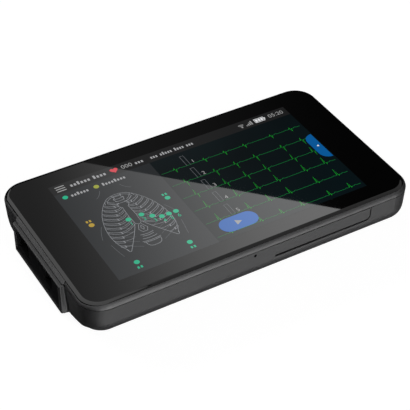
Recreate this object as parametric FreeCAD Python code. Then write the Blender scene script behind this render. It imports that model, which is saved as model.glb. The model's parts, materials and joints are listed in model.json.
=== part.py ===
import FreeCAD, Part
import math
import os

# Handheld ECG home monitor: a flat tablet case with a lead-socket hood on one end.
# Millimetres. +X runs along the case, the hood is at -X, the port cover is on the -Y side,
# +Z is up out of the screen. The origin is on the table, under the middle of the footprint.

V = FreeCAD.Vector

# ---------------------------------------------------------------- case
case_length = 158.9
case_width = 90.4
case_thickness = 18.3
corner_radius = 10.5
wall = 2.0
wall_draft = 0.06           # inward lean of the side walls, per mm of depth
belly_radius = 7.7          # large rounding between the side walls and the bottom
foot_proud = 0.6
rim_drop = 2.6              # from the top of the glass down to the parting line
parting_gap = 0.3
slip = 0.1                  # clearance of a piece laid into its seat
motion_gap = 0.3            # clearance round a piece that moves
past = 1.0                  # how far a cutting shape runs beyond the face it opens

# ---------------------------------------------------------------- cover glass
glass_margin = 1.4          # case outline to glass edge, on three sides
glass_margin_hood = 0.7     # the same on the hood end
glass_thickness = 1.6
glass_edge_run = 1.5        # the polished edge curve, measured inward
glass_edge_drop = 0.6       # the same curve, measured down
glass_rim_band = 5.0        # width of the border that carries the curve
adhesive_thickness = 0.3
adhesive_width = 2.1

# ---------------------------------------------------------------- front frame
frame_width = 4.0           # from the case outline in to the window
frame_bulge = 0.16          # how far the rim slope stands out of a straight chamfer
frame_top_inset = 1.25
tongue_depth = 1.4
tongue_gap = 0.2
brow_reach = 0.7            # the slope over the hood goes this far past the case end
brow_edge = 0.25            # upright edge below that slope
seal_inset = 0.8            # case outline to the rubber ring

# ---------------------------------------------------------------- display
active_length = 120.96      # 5.5 inch panel, 16:9
active_width = 68.04
active_x = 0.3              # centre of the picture, from the middle of the case
active_y = -0.6
display_border = 1.6
flex_thickness = 0.2
flex_width = 18.0
flex_landing = 8.0          # length of ribbon that lies on the main board
flex_rise = 1.5             # how far the ribbon runs up the display's edge

# ---------------------------------------------------------------- hood and lead sockets
hood_reach = 2.3            # how far the hood stands out of the case end
hood_half_width = 23.4
hood_side_wall = 1.8
hood_roof = 1.2
hood_floor = 1.2
hood_lift = 0.3             # hood underside above the case underside
hood_corner = 0.8
hood_edge = 0.4
socket_recess = 0.6
socket_block_depth = 11.0
socket_depth = 8.5
wide_socket_y = 14.1
wide_socket_width = 10.6
wide_socket_height = 8.0
narrow_socket_y = -10.5
narrow_socket_width = 7.2
narrow_socket_height = 7.4
socket_top_web = 1.0
socket_corner = 0.7
key_post_width = 1.5
key_post_height = 5.0
key_post_set_back = 0.15    # from the hood's front face
latch_hole_size = 1.0
latch_hole_depth = 1.2
latch_hole_lift = 1.9
latch_hole_side = 1.0       # from the wide socket's side to its latch hole
pin_size = 0.6
pin_length = 4.0
pin_pitch = 1.5
pin_row_pitch = 2.1
pin_gap = 0.05
wide_pins = 5               # in each of two rows
narrow_pins = 3
lead_board_thickness = 1.2
lead_board_half_width = 18.0
lead_board_height = 10.5
lead_flex_start = 2.0       # above the shell floor

# ---------------------------------------------------------------- port cover and ports
cover_left = 7.7            # hinge end, from the middle of the case
cover_end_inset = 23.55     # case outline to the cover's free end
cover_height = 7.2
cover_thickness = 1.5
cover_corner = 2.0
cover_side_gap = 0.3
cover_hinge_gap = 0.1
nail_gap = 0.6              # gap under the cover, for a finger nail
nail_groove = 1.6           # how far that gap runs down behind its lip
nail_lip = 0.15
pad_thickness = 0.25
pad_margin = 1.4
panel_thickness = 1.4
panel_overlap = 1.0
panel_base = 6.8
panel_set_back = 0.5        # the panel's own face, behind the outer wall face
strap_length = 4.0
strap_thickness = 0.9
usb_x = 20.0
usb_width = 8.94
usb_height = 3.16
usb_depth = 7.3
usb_wall = 0.3
usb_tongue_width = 6.4
usb_tongue_thickness = 0.7
socket_back_wall = 1.0
card_end_inset = 39.45      # case outline to the middle of the card socket
card_width = 14.0
card_height = 1.8
card_depth = 15.0
card_mouth_width = 11.6
card_mouth_height = 0.9

# ---------------------------------------------------------------- pinhole and microphone
pinhole_x = -2.4
pinhole_drop = 4.6          # below the top of the glass
pinhole_radius = 0.45
microphone_size = 3.4
microphone_depth = 1.6
microphone_height = 2.2

# ---------------------------------------------------------------- power button
button_end_inset = 35.45    # case outline to the middle of the button
button_drop = 7.7           # centre, below the top of the glass
button_length = 12.0
button_height = 3.4
button_edge = 0.25
button_gap = 0.15
button_travel = 0.25
flange_extra = 0.8
flange_thickness = 0.8
switch_length = 6.0
switch_height = 3.2
switch_depth = 3.0
switch_free_gap = 0.2       # left between button and switch when fully pressed

# ---------------------------------------------------------------- boards, battery, speaker
board_top_height = 10.2     # above the table
board_thickness = 1.2
board_end_inset = 18.45     # case outline to the board's ends
board_near_inset = 5.6
board_far_inset = 5.2
post_radius = 2.5
post_hole_radius = 0.9
board_hole_radius = 1.1
post_end_inset = 29.45      # case outline to the board's screw posts
post_side_inset = 13.2
board_screw_head_radius = 1.9
board_screw_head = 1.2
board_screw_length = 4.5
chassis_thickness = 1.0
boss_end_inset = 12.45      # case outline to the case screws
boss_side_inset = 13.7
boss_radius = 3.6
screw_hole_radius = 1.25
screw_shank_radius = 1.2
thread_gap = 0.05
screw_head_radius = 2.2
screw_head_height = 1.6
screw_recess = 0.5
socket_drive_radius = 1.1
socket_drive_depth = 0.95
battery_size = (66.0, 48.0, 5.4)
battery_centre = (-8.0, 0.0)
battery_pad_thickness = 0.3
battery_pad_inset = 3.0
speaker_size = (18.0, 13.0, 3.6)
speaker_end_inset = 23.45   # case outline to the middle of the speaker
speaker_y = -12.0
speaker_gasket = 0.4
gasket_width = 1.5
grille_slots = 4
grille_pitch = 2.4
grille_slot_length = 10.0
grille_slot_width = 1.2
shield_height = 2.4
# each can and chip: middle as a share of the board's half length, then across, length, width
shields = [(-0.59, 12.0, 24.0, 26.0), (-0.557, -17.0, 24.0, 22.0), (0.1, 12.0, 34.0, 26.0)]
chip_height = 1.1
chips = [(-0.197, -14.0, 10.0, 10.0), (0.066, -12.0, 7.0, 7.0), (0.525, 8.0, 8.0, 12.0), (0.72, -8.0, 6.0, 5.0)]

# ---------------------------------------------------------------- feet
foot_end_inset = 31.45      # case outline to the ends of the two strips
foot_side_inset = 13.7      # case outline to the middle of a strip
foot_width = 5.0
foot_corner = 2.0
foot_recess = 0.6
foot_edge = 0.3
foot_gap = 0.05

# ---------------------------------------------------------------- levels and faces that follow
case_x = hood_reach / 2     # middle of the case, from the origin
case_left = case_x - case_length / 2
case_right = case_x + case_length / 2
near_y = -case_width / 2
far_y = case_width / 2
hood_front = case_left - hood_reach
shell_bottom = foot_proud
floor_top = shell_bottom + wall
glass_top = shell_bottom + case_thickness
glass_bottom = glass_top - glass_thickness
frame_top = glass_top - glass_edge_drop
parting = glass_top - rim_drop
shell_top = parting - parting_gap / 2
frame_bottom = parting + parting_gap / 2
ledge_top = glass_bottom - adhesive_thickness
tongue_bottom = frame_bottom - tongue_depth
chassis_top = tongue_bottom
chassis_bottom = chassis_top - chassis_thickness
board_bottom = board_top_height - board_thickness
draft_angle = math.atan(wall_draft)
belly_height = shell_bottom + belly_radius
belly_start = belly_height - belly_radius * math.sin(draft_angle)
belly_inset = wall_draft * (shell_top - belly_start) + belly_radius * math.cos(draft_angle)
floor_join = belly_inset + 0.3
glass_length = case_length - glass_margin - glass_margin_hood
glass_width = case_width - 2 * glass_margin
glass_corner = corner_radius - glass_margin
glass_x = case_x + (glass_margin_hood - glass_margin) / 2
display_edge = case_x + active_x + active_length / 2 + display_border
hood_bottom = shell_bottom + hood_lift
bay_floor = hood_bottom + hood_floor
bay_roof = shell_top - hood_roof
bay_half_width = hood_half_width - hood_side_wall
block_front = hood_front + socket_recess
block_back = block_front + socket_block_depth
block_top = min(bay_roof, tongue_bottom) - slip
socket_roof = block_top - socket_top_web
hinge_x = case_x + cover_left
cover_far = case_right - cover_end_inset
card_x = case_right - card_end_inset
cover_top = shell_top - slip
cover_bottom = parting - cover_height + nail_gap
pocket_bottom = parting - cover_height
panel_front = cover_thickness + pad_thickness + motion_gap
usb_z = board_top_height + usb_height / 2
board_length = case_length - 2 * board_end_inset
board_near_y = near_y + board_near_inset
board_far_y = far_y - board_far_inset
post_x = case_length / 2 - post_end_inset
post_y = case_width / 2 - post_side_inset
boss_x = case_length / 2 - boss_end_inset
boss_y = case_width / 2 - boss_side_inset
foot_length = case_length - 2 * foot_end_inset
foot_y = case_width / 2 - foot_side_inset
button_x = case_right - button_end_inset
speaker_x = case_right - speaker_end_inset


def wall_inset(z):
    """How far the drafted outer wall lies inside the case outline at height z."""
    return wall_draft * (shell_top - z)


# ---------------------------------------------------------------- building blocks
def box(x0, x1, y0, y1, z0, z1):
    return Part.makeBox(x1 - x0, y1 - y0, z1 - z0, V(x0, y0, z0))


def pill(x, y, z, radius, depth, direction):
    return Part.makeCylinder(radius, depth, V(x, y, z), direction)


def slab(length, width, radius, z0, z1, x=0.0, y=0.0):
    """A plate with rounded corners, its middle at x, y."""
    plate = box(x - length / 2, x + length / 2, y - width / 2, y + width / 2, z0, z1)
    upright = [e for e in plate.Edges if abs(e.Vertexes[0].Z - e.Vertexes[-1].Z) > (z1 - z0) / 2]
    return plate.makeFillet(radius, upright)


def prism(points, push):
    """A solid from a closed polygon of points, pushed along a vector."""
    return Part.Face(Part.makePolygon(points + points[:1])).extrude(push)


def section_face(section, place):
    """A face from a section of ('line', end) and ('arc', middle, end) steps.

    The section starts at its first entry, a plain point. Points are (inset, height), and
    place turns one into a vector.
    """
    edges = []
    here = place(section[0])
    for step in section[1:]:
        end = place(step[-1])
        if step[0] == "arc":
            edges.append(Part.Arc(here, place(step[1]), end).toShape())
        else:
            edges.append(Part.makeLine(here, end))
        here = end
    edges.append(Part.makeLine(here, place(section[0])))
    return Part.Face(Part.Wire(edges))


def border(section, length, width, radius, x=0.0):
    """Carry a section all the way round a rectangle with rounded corners."""
    half_x = length / 2 - radius
    half_y = width / 2 - radius
    corners = [V(x + half_x, -half_y, 0), V(x + half_x, half_y, 0),
               V(x - half_x, half_y, 0), V(x - half_x, -half_y, 0)]
    runs = [2 * half_y, 2 * half_x, 2 * half_y, 2 * half_x]
    pieces = []
    for index, centre in enumerate(corners):
        start = math.radians(90 * (index - 1))
        outward = V(math.cos(start), math.sin(start), 0)
        along = V(-outward.y, outward.x, 0)

        def at_start(point):
            return centre + outward * (radius - point[0]) + V(0, 0, point[1])

        def at_end(point):
            return centre + along * (radius - point[0]) + V(0, 0, point[1])

        pieces.append(section_face(section, at_start).revolve(centre, V(0, 0, 1), 90))
        pieces.append(section_face(section, at_end).extrude(outward * -runs[index]))
    return pieces[0].multiFuse(pieces[1:]).removeSplitter()


def hexagon(x, y, z, radius, height):
    """An upright six-sided bar that starts at z."""
    angles = [math.radians(60 * k) for k in range(6)]
    return prism([V(x + radius * math.cos(a), y + radius * math.sin(a), z) for a in angles], V(0, 0, height))


def stadium(x, z, length, height, y0, y1):
    """A bar with round ends that runs along Y, its middle at x, z."""
    radius = height / 2
    flat = length / 2 - radius
    push = V(0, y1 - y0, 0)
    body = box(x - flat, x + flat, y0, y1, z - radius, z + radius)
    ends = [pill(x + side * flat, y0, z, radius, y1 - y0, push) for side in (-1, 1)]
    return body.multiFuse(ends).removeSplitter()


def corners_of(half_x, half_y):
    return [(case_x + sx * half_x, sy * half_y) for sx in (-1, 1) for sy in (-1, 1)]


def group(solids):
    return Part.makeCompound(solids)


# ---------------------------------------------------------------- screen side
def cover_glass():
    """Sheet of glass with a shallow curve polished round its top edge."""
    curve = (glass_edge_run ** 2 + glass_edge_drop ** 2) / (2 * glass_edge_drop)
    half = math.asin(glass_edge_run / curve) / 2
    middle = (glass_edge_run - curve * math.sin(half), glass_top - curve * (1 - math.cos(half)))
    edge = [(0, glass_bottom), ("line", (0, frame_top)), ("arc", middle, (glass_edge_run, glass_top)),
            ("line", (glass_rim_band, glass_top)), ("line", (glass_rim_band, glass_bottom))]
    rim = border(edge, glass_length, glass_width, glass_corner, glass_x)
    sheet = slab(glass_length - 2 * glass_rim_band, glass_width - 2 * glass_rim_band,
                 glass_corner - glass_rim_band, glass_bottom, glass_top, glass_x)
    return rim.fuse(sheet).removeSplitter()


def glass_adhesive():
    """Bonding tape between the glass and the ledge of the frame."""
    outer = slab(glass_length - 2 * slip, glass_width - 2 * slip, glass_corner - slip,
                 ledge_top, glass_bottom, glass_x)
    inner = slab(glass_length - 2 * adhesive_width, glass_width - 2 * adhesive_width,
                 glass_corner - adhesive_width, ledge_top, glass_bottom, glass_x)
    return outer.cut(inner)


def display_module():
    """LCD panel with its backlight, bonded to the back of the glass."""
    half_width = active_width / 2 + display_border
    return box(display_edge - active_length - 2 * display_border, display_edge,
               active_y - half_width, active_y + half_width, chassis_top, glass_bottom)


def display_flex():
    """Ribbon from the panel's edge down through the chassis to the main board."""
    outside = display_edge + flex_thickness
    down = box(display_edge, outside, -flex_width / 2, flex_width / 2,
               board_top_height, chassis_top + flex_rise)
    flat = box(display_edge - flex_landing, outside, -flex_width / 2, flex_width / 2,
               board_top_height, board_top_height + flex_thickness)
    return down.fuse(flat).removeSplitter()


def frame_section():
    """Rim slope, glass ledge and the tongue that drops inside the shell."""
    middle = (frame_top_inset / 2 - frame_bulge, (frame_bottom + frame_top) / 2 + frame_bulge)
    tongue = wall + tongue_gap
    return [(0, frame_bottom), ("arc", middle, (frame_top_inset, frame_top)),
            ("line", (frame_width, frame_top)), ("line", (frame_width, tongue_bottom)),
            ("line", (tongue, tongue_bottom)), ("line", (tongue, frame_bottom))]


def hood_outline(z0, z1, depth):
    """The hood's plan, from its front face back into the case."""
    plan = box(hood_front, hood_front + depth, -hood_half_width, hood_half_width, z0, z1)
    front = [e for e in plan.Edges if abs(e.Vertexes[0].Z - e.Vertexes[-1].Z) > (z1 - z0) / 2
             and e.Vertexes[0].X < hood_front + depth / 2]
    return plan.makeFillet(hood_corner, front)


def brow():
    """The straight slope from the glass out over the hood."""
    lip = case_left - brow_reach
    inside = case_left + frame_width
    points = [V(lip, -hood_half_width, frame_bottom), V(lip, -hood_half_width, frame_bottom + brow_edge),
              V(case_left + glass_margin_hood - slip, -hood_half_width, frame_top),
              V(inside, -hood_half_width, frame_top), V(inside, -hood_half_width, frame_bottom)]
    wedge = prism(points, V(0, 2 * hood_half_width, 0))
    ends = [e for e in wedge.Edges if len(e.Vertexes) == 2
            and abs(e.Vertexes[0].X - lip) < 0.01 and abs(e.Vertexes[1].X - lip) < 0.01
            and abs(e.Vertexes[0].Z - e.Vertexes[1].Z) > brow_edge / 2]
    return wedge.makeFillet(hood_corner, ends)


def front_frame():
    """Upper half of the case: a rim round the glass, with a brow over the hood."""
    ring = border(frame_section(), case_length, case_width, corner_radius, case_x)
    pocket = slab(glass_length + 2 * slip, glass_width + 2 * slip, glass_corner + slip,
                  ledge_top, glass_top, glass_x)
    return ring.fuse(brow()).cut(pocket).removeSplitter()


def case_seal():
    """Flat rubber ring squeezed in the parting line."""
    section = [(seal_inset, shell_top), ("line", (seal_inset, frame_bottom)),
               ("line", (wall - slip, frame_bottom)), ("line", (wall - slip, shell_top))]
    return border(section, case_length, case_width, corner_radius, case_x)


def chassis_plate():
    """Metal tray that carries the display and takes the case screws."""
    inset = wall + tongue_gap + slip
    plate = slab(case_length - 2 * inset, case_width - 2 * inset, corner_radius - inset,
                 chassis_bottom, chassis_top, case_x)
    notch = box(hood_front, block_back + motion_gap, -hood_half_width - slip, hood_half_width + slip,
                chassis_bottom, chassis_top)
    boot = microphone().BoundBox
    pinhole_notch = box(boot.XMin - slip, boot.XMax + slip, near_y, boot.YMax + slip,
                        chassis_bottom, chassis_top)
    slot = box(display_edge - slip, display_edge + flex_thickness + slip,
               -flex_width / 2 - slip, flex_width / 2 + slip, chassis_bottom, chassis_top)
    holes = [pill(x, y, chassis_bottom - past, screw_shank_radius + thread_gap, chassis_thickness + 2 * past,
                  V(0, 0, 1)) for x, y in corners_of(boss_x, boss_y)]
    return plate.cut([notch, pinhole_notch, slot] + holes)


# ---------------------------------------------------------------- rear shell
def shell_section():
    """Drafted wall that rolls into the flat bottom, the same thickness all the way."""
    lean = V(math.cos(draft_angle), math.sin(draft_angle), 0)
    half = (draft_angle + math.pi / 2) / 2

    def on_roll(radius, angle):
        return (belly_inset - radius * math.cos(angle), belly_height - radius * math.sin(angle))

    inner = belly_radius - wall
    inner_end = on_roll(inner, draft_angle)
    inner_top = (inner_end[0] - (shell_top - inner_end[1]) * lean.y / lean.x, shell_top)
    return [(0, shell_top), ("line", on_roll(belly_radius, draft_angle)),
            ("arc", on_roll(belly_radius, half), (belly_inset, shell_bottom)),
            ("line", (floor_join, shell_bottom)), ("line", (floor_join, floor_top)),
            ("line", (belly_inset, floor_top)), ("arc", on_roll(inner, half), inner_end),
            ("line", inner_top)]


def hood_shell():
    """Outside of the hood, softened round its front face."""
    block = hood_outline(hood_bottom, shell_top, belly_inset + hood_reach)
    rim = [e for e in block.Edges
           if e.BoundBox.ZLength < 0.01 and e.BoundBox.XMax < hood_front + hood_corner + 0.01]
    return block.makeChamfer(hood_edge, rim)


def port_panel():
    """Wall behind the port cover, with the sill that the cover hangs over."""
    x0 = hinge_x - strap_length - panel_overlap
    x1 = cover_far + cover_side_gap + panel_overlap
    front = near_y + wall_inset(panel_base) + panel_set_back
    back = near_y + panel_front + panel_thickness
    return box(x0, x1, front, back, panel_base, chassis_bottom - slip)


def port_pocket():
    """Space that the port cover fills, open at the parting line."""
    x0 = hinge_x - cover_hinge_gap
    x1 = cover_far + cover_side_gap
    pocket = box(x0, x1, near_y - past, near_y + panel_front, pocket_bottom, shell_top + past)
    corner = [e for e in pocket.Edges if e.BoundBox.YLength > panel_front
              and e.BoundBox.XMin > x1 - 0.01 and e.BoundBox.ZMax < pocket_bottom + 0.01]
    return pocket.makeFillet(cover_corner + cover_side_gap, corner)


def nail_channel():
    """Undercut behind the lip of the gap under the cover, so that a finger nail gets hold."""
    lip = near_y + wall_inset(pocket_bottom) + nail_lip
    back = near_y + panel_front
    x0 = hinge_x - cover_hinge_gap
    points = [V(x0, lip, pocket_bottom), V(x0, back, pocket_bottom - nail_groove), V(x0, back, pocket_bottom + nail_gap),
              V(x0, lip, pocket_bottom + nail_gap)]
    return prism(points, V(cover_far - cover_corner - x0, 0, 0))


def strap_seat():
    """Slot beside the pocket that holds the root of the cover's strap."""
    y0 = near_y + panel_front - strap_thickness - motion_gap
    return box(hinge_x - cover_hinge_gap - strap_length, hinge_x - cover_hinge_gap,
               y0, near_y + panel_front, pocket_bottom + nail_gap, chassis_bottom - slip)


def usb_solid(extra, y0, y1):
    return stadium(case_x + usb_x, usb_z, usb_width + 2 * extra, usb_height + 2 * extra, y0, y1)


def card_mouth(y0, y1):
    height = board_top_height + card_height / 2
    return box(card_x - card_mouth_width / 2, card_x + card_mouth_width / 2,
               y0, y1, height - card_mouth_height / 2, height + card_mouth_height / 2)


def grille(z0, z1):
    """Row of slots in front of the speaker."""
    first = speaker_y - (grille_slots - 1) / 2 * grille_pitch
    rows = [first + k * grille_pitch for k in range(grille_slots)]
    return [box(speaker_x - grille_slot_length / 2, speaker_x + grille_slot_length / 2,
                y - grille_slot_width / 2, y + grille_slot_width / 2, z0, z1) for y in rows]


def shell_cuts():
    """Everything that is taken out of the rear shell."""
    port_wall = (near_y + panel_front - past, near_y + panel_front + panel_thickness + past)
    cuts = [box(hood_front - past, block_back, -bay_half_width, bay_half_width, bay_floor, bay_roof)]
    cuts.append(box(case_left + wall, block_back, -hood_half_width - slip, hood_half_width + slip,
                    chassis_bottom - slip, shell_top + past))
    cuts.append(port_pocket())
    cuts.append(nail_channel())
    cuts.append(strap_seat())
    cuts.append(usb_solid(slip, *port_wall))
    cuts.append(card_mouth(*port_wall))
    cuts.append(pill(case_x + pinhole_x, near_y - past, glass_top - pinhole_drop, pinhole_radius,
                     wall + 2 * past, V(0, 1, 0)))
    cuts.append(stadium(button_x, glass_top - button_drop, button_length + 2 * button_gap,
                        button_height + 2 * button_gap, far_y - 2 * wall, far_y + past))
    below = shell_bottom - past
    for x, y in corners_of(boss_x, boss_y):
        cuts.append(pill(x, y, below, screw_hole_radius, chassis_bottom + past - below, V(0, 0, 1)))
        cuts.append(pill(x, y, below, screw_head_radius + slip, past + screw_recess + screw_head_height,
                         V(0, 0, 1)))
    for x, y in corners_of(post_x, post_y):
        cuts.append(pill(x, y, floor_top, post_hole_radius, board_bottom, V(0, 0, 1)))
    cuts += foot_strips(foot_width, below, shell_bottom + foot_recess)
    return cuts + grille(below, floor_top + past)


def rear_shell():
    """Moulded tub: drafted walls, rolled belly, hood, bosses and every opening."""
    tub = border(shell_section(), case_length, case_width, corner_radius, case_x)
    bottom = slab(case_length - 2 * floor_join, case_width - 2 * floor_join, corner_radius - floor_join,
                  shell_bottom, floor_top, case_x)
    bosses = [pill(x, y, floor_top, boss_radius, chassis_bottom - floor_top, V(0, 0, 1))
              for x, y in corners_of(boss_x, boss_y)]
    posts = [hexagon(x, y, floor_top, post_radius, board_bottom - floor_top)
             for x, y in corners_of(post_x, post_y)]
    solid = tub.multiFuse([bottom, hood_shell(), port_panel()] + bosses + posts)
    return solid.cut(shell_cuts()).removeSplitter()


# ---------------------------------------------------------------- lead sockets
def socket_space(y, width, height):
    """One socket's hollow, open at the front."""
    space = box(block_front - past, block_front + socket_depth, y - width / 2, y + width / 2,
                socket_roof - height, socket_roof)
    long_edges = [e for e in space.Edges if e.BoundBox.XLength > socket_depth]
    return space.makeFillet(socket_corner, long_edges)


def latch_holes():
    """Small square windows that the plugs' latches snap into."""
    height = bay_floor + latch_hole_lift
    half = latch_hole_size / 2
    beside_wide = wide_socket_y - wide_socket_width / 2 - latch_hole_side
    return [box(block_front - past, block_front + latch_hole_depth, y - half, y + half, height - half, height + half)
            for y in (beside_wide, narrow_socket_y)]


def lead_socket_block():
    """Insert that fills the hood, with one wide and one narrow keyed socket."""
    block = box(block_front, block_back, -bay_half_width + slip, bay_half_width - slip, bay_floor, block_top)
    wide = socket_space(wide_socket_y, wide_socket_width, wide_socket_height)
    narrow = socket_space(narrow_socket_y, narrow_socket_width, narrow_socket_height)
    cuts = [wide, narrow] + latch_holes()
    return block.cut(cuts + pin_channels()).removeSplitter()


def pin_rows(y, count):
    height = socket_roof - narrow_socket_height / 2
    for row in (-1, 1):
        for place in range(count):
            yield y + (place - (count - 1) / 2) * pin_pitch, height + row * pin_row_pitch / 2


def pins(y, count, extra):
    """Square contacts that reach from the lead board through the block into a socket."""
    start = block_front + socket_depth - (pin_length - (socket_block_depth - socket_depth))
    half = pin_size / 2 + extra
    return [box(start, block_back, py - half, py + half, pz - half, pz + half)
            for py, pz in pin_rows(y, count)]


def pin_channels():
    return pins(wide_socket_y, wide_pins, pin_gap) + pins(narrow_socket_y, narrow_pins, pin_gap)


def lead_pins_wide():
    return group(pins(wide_socket_y, wide_pins, 0.0))


def lead_pins_narrow():
    return group(pins(narrow_socket_y, narrow_pins, 0.0))


def lead_key_post():
    """Rib on the block's face beside the narrow socket, which keys the plug."""
    side = narrow_socket_y + narrow_socket_width / 2
    return box(hood_front + key_post_set_back, block_front, side, side + key_post_width,
               socket_roof - key_post_height, socket_roof)


def lead_board():
    """Small upright board behind the socket block."""
    return box(block_back, block_back + lead_board_thickness, -lead_board_half_width, lead_board_half_width,
               floor_top, floor_top + lead_board_height)


def lead_flex():
    """Ribbon from the lead board to the main board."""
    back = block_back + lead_board_thickness
    upright = box(back, back + flex_thickness, -flex_width / 2, flex_width / 2,
                  floor_top + lead_flex_start, board_top_height + flex_thickness)
    flat = box(back, case_x - board_length / 2 + flex_landing, -flex_width / 2, flex_width / 2,
               board_top_height, board_top_height + flex_thickness)
    return upright.fuse(flat).removeSplitter()


# ---------------------------------------------------------------- boards and what they carry
def main_board():
    board = box(case_x - board_length / 2, case_x + board_length / 2, board_near_y, board_far_y,
                board_bottom, board_top_height)
    holes = [pill(x, y, board_bottom - past, board_hole_radius, board_thickness + 2 * past, V(0, 0, 1))
             for x, y in corners_of(post_x, post_y)]
    return board.cut(holes)


def board_screws():
    screws = []
    for x, y in corners_of(post_x, post_y):
        head = hexagon(x, y, board_top_height, board_screw_head_radius, board_screw_head)
        shank = pill(x, y, board_top_height - board_screw_length, post_hole_radius - thread_gap,
                     board_screw_length, V(0, 0, 1))
        screws.append(head.fuse(shank).removeSplitter())
    return group(screws)


def on_board(places, height):
    """Blocks that stand on the main board."""
    blocks = []
    for share, y, length, width in places:
        x = case_x + share * board_length / 2
        blocks.append(box(x - length / 2, x + length / 2, y - width / 2, y + width / 2,
                          board_top_height, board_top_height + height))
    return group(blocks)


def shield_cans():
    return on_board(shields, shield_height)


def board_chips():
    return on_board(chips, chip_height)


def usb_socket():
    """USB-C receptacle: a stadium tube with the contact tongue inside."""
    mouth = near_y + panel_front
    outer = usb_solid(0.0, mouth, mouth + usb_depth)
    inside = mouth + usb_depth - socket_back_wall
    hollow = usb_solid(-usb_wall, mouth - past, inside)
    tongue = box(case_x + usb_x - usb_tongue_width / 2, case_x + usb_x + usb_tongue_width / 2,
                 mouth + socket_back_wall, inside,
                 usb_z - usb_tongue_thickness / 2, usb_z + usb_tongue_thickness / 2)
    return outer.cut(hollow).fuse(tongue).removeSplitter()


def card_socket():
    """Metal memory-card socket on the main board, open behind its slot."""
    front = near_y + panel_front + panel_thickness + slip
    body = box(card_x - card_width / 2, card_x + card_width / 2,
               front, front + card_depth, board_top_height, board_top_height + card_height)
    return body.cut(card_mouth(front - past, front + card_depth - socket_back_wall))


def microphone():
    """Microphone in its boot, on the wall behind the pinhole."""
    x = case_x + pinhole_x
    base = tongue_bottom - slip - microphone_height
    face = near_y + wall_inset(base) + wall / math.cos(draft_angle)
    return box(x - microphone_size / 2, x + microphone_size / 2, face, face + microphone_depth,
               base, base + microphone_height)


def power_switch():
    """Side-push switch on the main board, behind the button."""
    face = button_inner_y() - button_travel - switch_free_gap
    return box(button_x - switch_length / 2, button_x + switch_length / 2, face - switch_depth, face,
               board_top_height, board_top_height + switch_height)


def battery_pad():
    x, y = battery_centre
    half_x = battery_size[0] / 2 - battery_pad_inset
    half_y = battery_size[1] / 2 - battery_pad_inset
    return box(case_x + x - half_x, case_x + x + half_x, y - half_y, y + half_y,
               floor_top, floor_top + battery_pad_thickness)


def battery_pack():
    """Flat lithium pack, taped to the shell floor."""
    length, width, height = battery_size
    base = floor_top + battery_pad_thickness
    x, y = battery_centre
    return box(case_x + x - length / 2, case_x + x + length / 2, y - width / 2, y + width / 2, base, base + height)


def speaker_block(inset, z0, z1):
    """The speaker's outline, drawn in by inset."""
    half_x = speaker_size[0] / 2 - inset
    half_y = speaker_size[1] / 2 - inset
    return box(speaker_x - half_x, speaker_x + half_x, speaker_y - half_y, speaker_y + half_y, z0, z1)


def speaker():
    base = floor_top + speaker_gasket
    return speaker_block(0.0, base, base + speaker_size[2])


def speaker_ring():
    """Foam gasket that seals the speaker to the shell round the grille."""
    top = floor_top + speaker_gasket
    return speaker_block(0.0, floor_top, top).cut(speaker_block(gasket_width, floor_top - past, top + past))


# ---------------------------------------------------------------- port cover
def port_cover():
    """Flap that closes the ports, its face flush with the drafted wall."""
    top = (wall_inset(cover_top), cover_top)
    bottom = (wall_inset(cover_bottom), cover_bottom)
    y_back = near_y + cover_thickness
    points = [V(0, near_y + top[0], top[1]), V(0, near_y + bottom[0], bottom[1]),
              V(0, y_back, bottom[1]), V(0, y_back, top[1])]
    bar = prism(points, V(cover_far - hinge_x, 0, 0)).translated(V(hinge_x, 0, 0))
    corner = [e for e in bar.Edges if e.BoundBox.XMin > cover_far - 0.01
              and e.BoundBox.ZMax < cover_bottom + 0.01 and e.BoundBox.YLength > cover_thickness / 2]
    return bar.makeFillet(cover_corner, corner)


def port_cover_pad():
    """Rubber pad inside the cover that closes off the ports."""
    return box(hinge_x + pad_margin, cover_far - pad_margin,
               near_y + cover_thickness, near_y + cover_thickness + pad_thickness,
               cover_bottom + pad_margin, tongue_bottom - motion_gap)


def port_strap():
    """Root of the cover's strap, held in its seat in the shell."""
    seat = strap_seat().BoundBox
    return box(seat.XMin, seat.XMax, seat.YMax - strap_thickness, seat.YMax, seat.ZMin, seat.ZMax)


# ---------------------------------------------------------------- power button
def button_inner_y():
    """Inner face of the button's flange."""
    z = glass_top - button_drop + button_height / 2 + flange_extra
    inside = far_y - wall_inset(z - button_height - 2 * flange_extra) - wall / math.cos(draft_angle)
    return inside - slip - flange_thickness


def power_button():
    """Bar with round ends, level with the case's widest line and kept in the wall by a flange."""
    z = glass_top - button_drop
    inner = button_inner_y()
    bar = stadium(button_x, z, button_length, button_height, inner, far_y)
    outer_edges = [e for e in bar.Edges if e.BoundBox.YMin > far_y - 0.01]
    cap = bar.makeChamfer(button_edge, outer_edges)
    flange = stadium(button_x, z, button_length + 2 * flange_extra, button_height + 2 * flange_extra,
                     inner, inner + flange_thickness)
    return cap.fuse(flange).removeSplitter()


# ---------------------------------------------------------------- screws and feet
def case_screws():
    """Four case screws with a socket drive, sunk in the bottom."""
    screws = []
    for x, y in corners_of(boss_x, boss_y):
        base = shell_bottom + screw_recess
        head = pill(x, y, base, screw_head_radius, screw_head_height, V(0, 0, 1))
        shank = pill(x, y, base, screw_shank_radius, chassis_top - base, V(0, 0, 1))
        drive = hexagon(x, y, base, socket_drive_radius, socket_drive_depth)
        screws.append(head.fuse(shank).cut(drive).removeSplitter())
    return group(screws)


def foot_strips(width, z0, z1):
    """The two long strips along the bottom, as wide as asked."""
    trim = foot_width - width
    return [slab(foot_length - trim, width, foot_corner - trim / 2, z0, z1, case_x, side * foot_y)
            for side in (-1, 1)]


def rubber_feet():
    feet = []
    for strip in foot_strips(foot_width - 2 * foot_gap, 0, foot_proud + foot_recess):
        edge = [e for e in strip.Edges if e.BoundBox.ZMax < 0.01]
        feet.append(strip.makeChamfer(foot_edge, edge))
    return group(feet)


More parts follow.
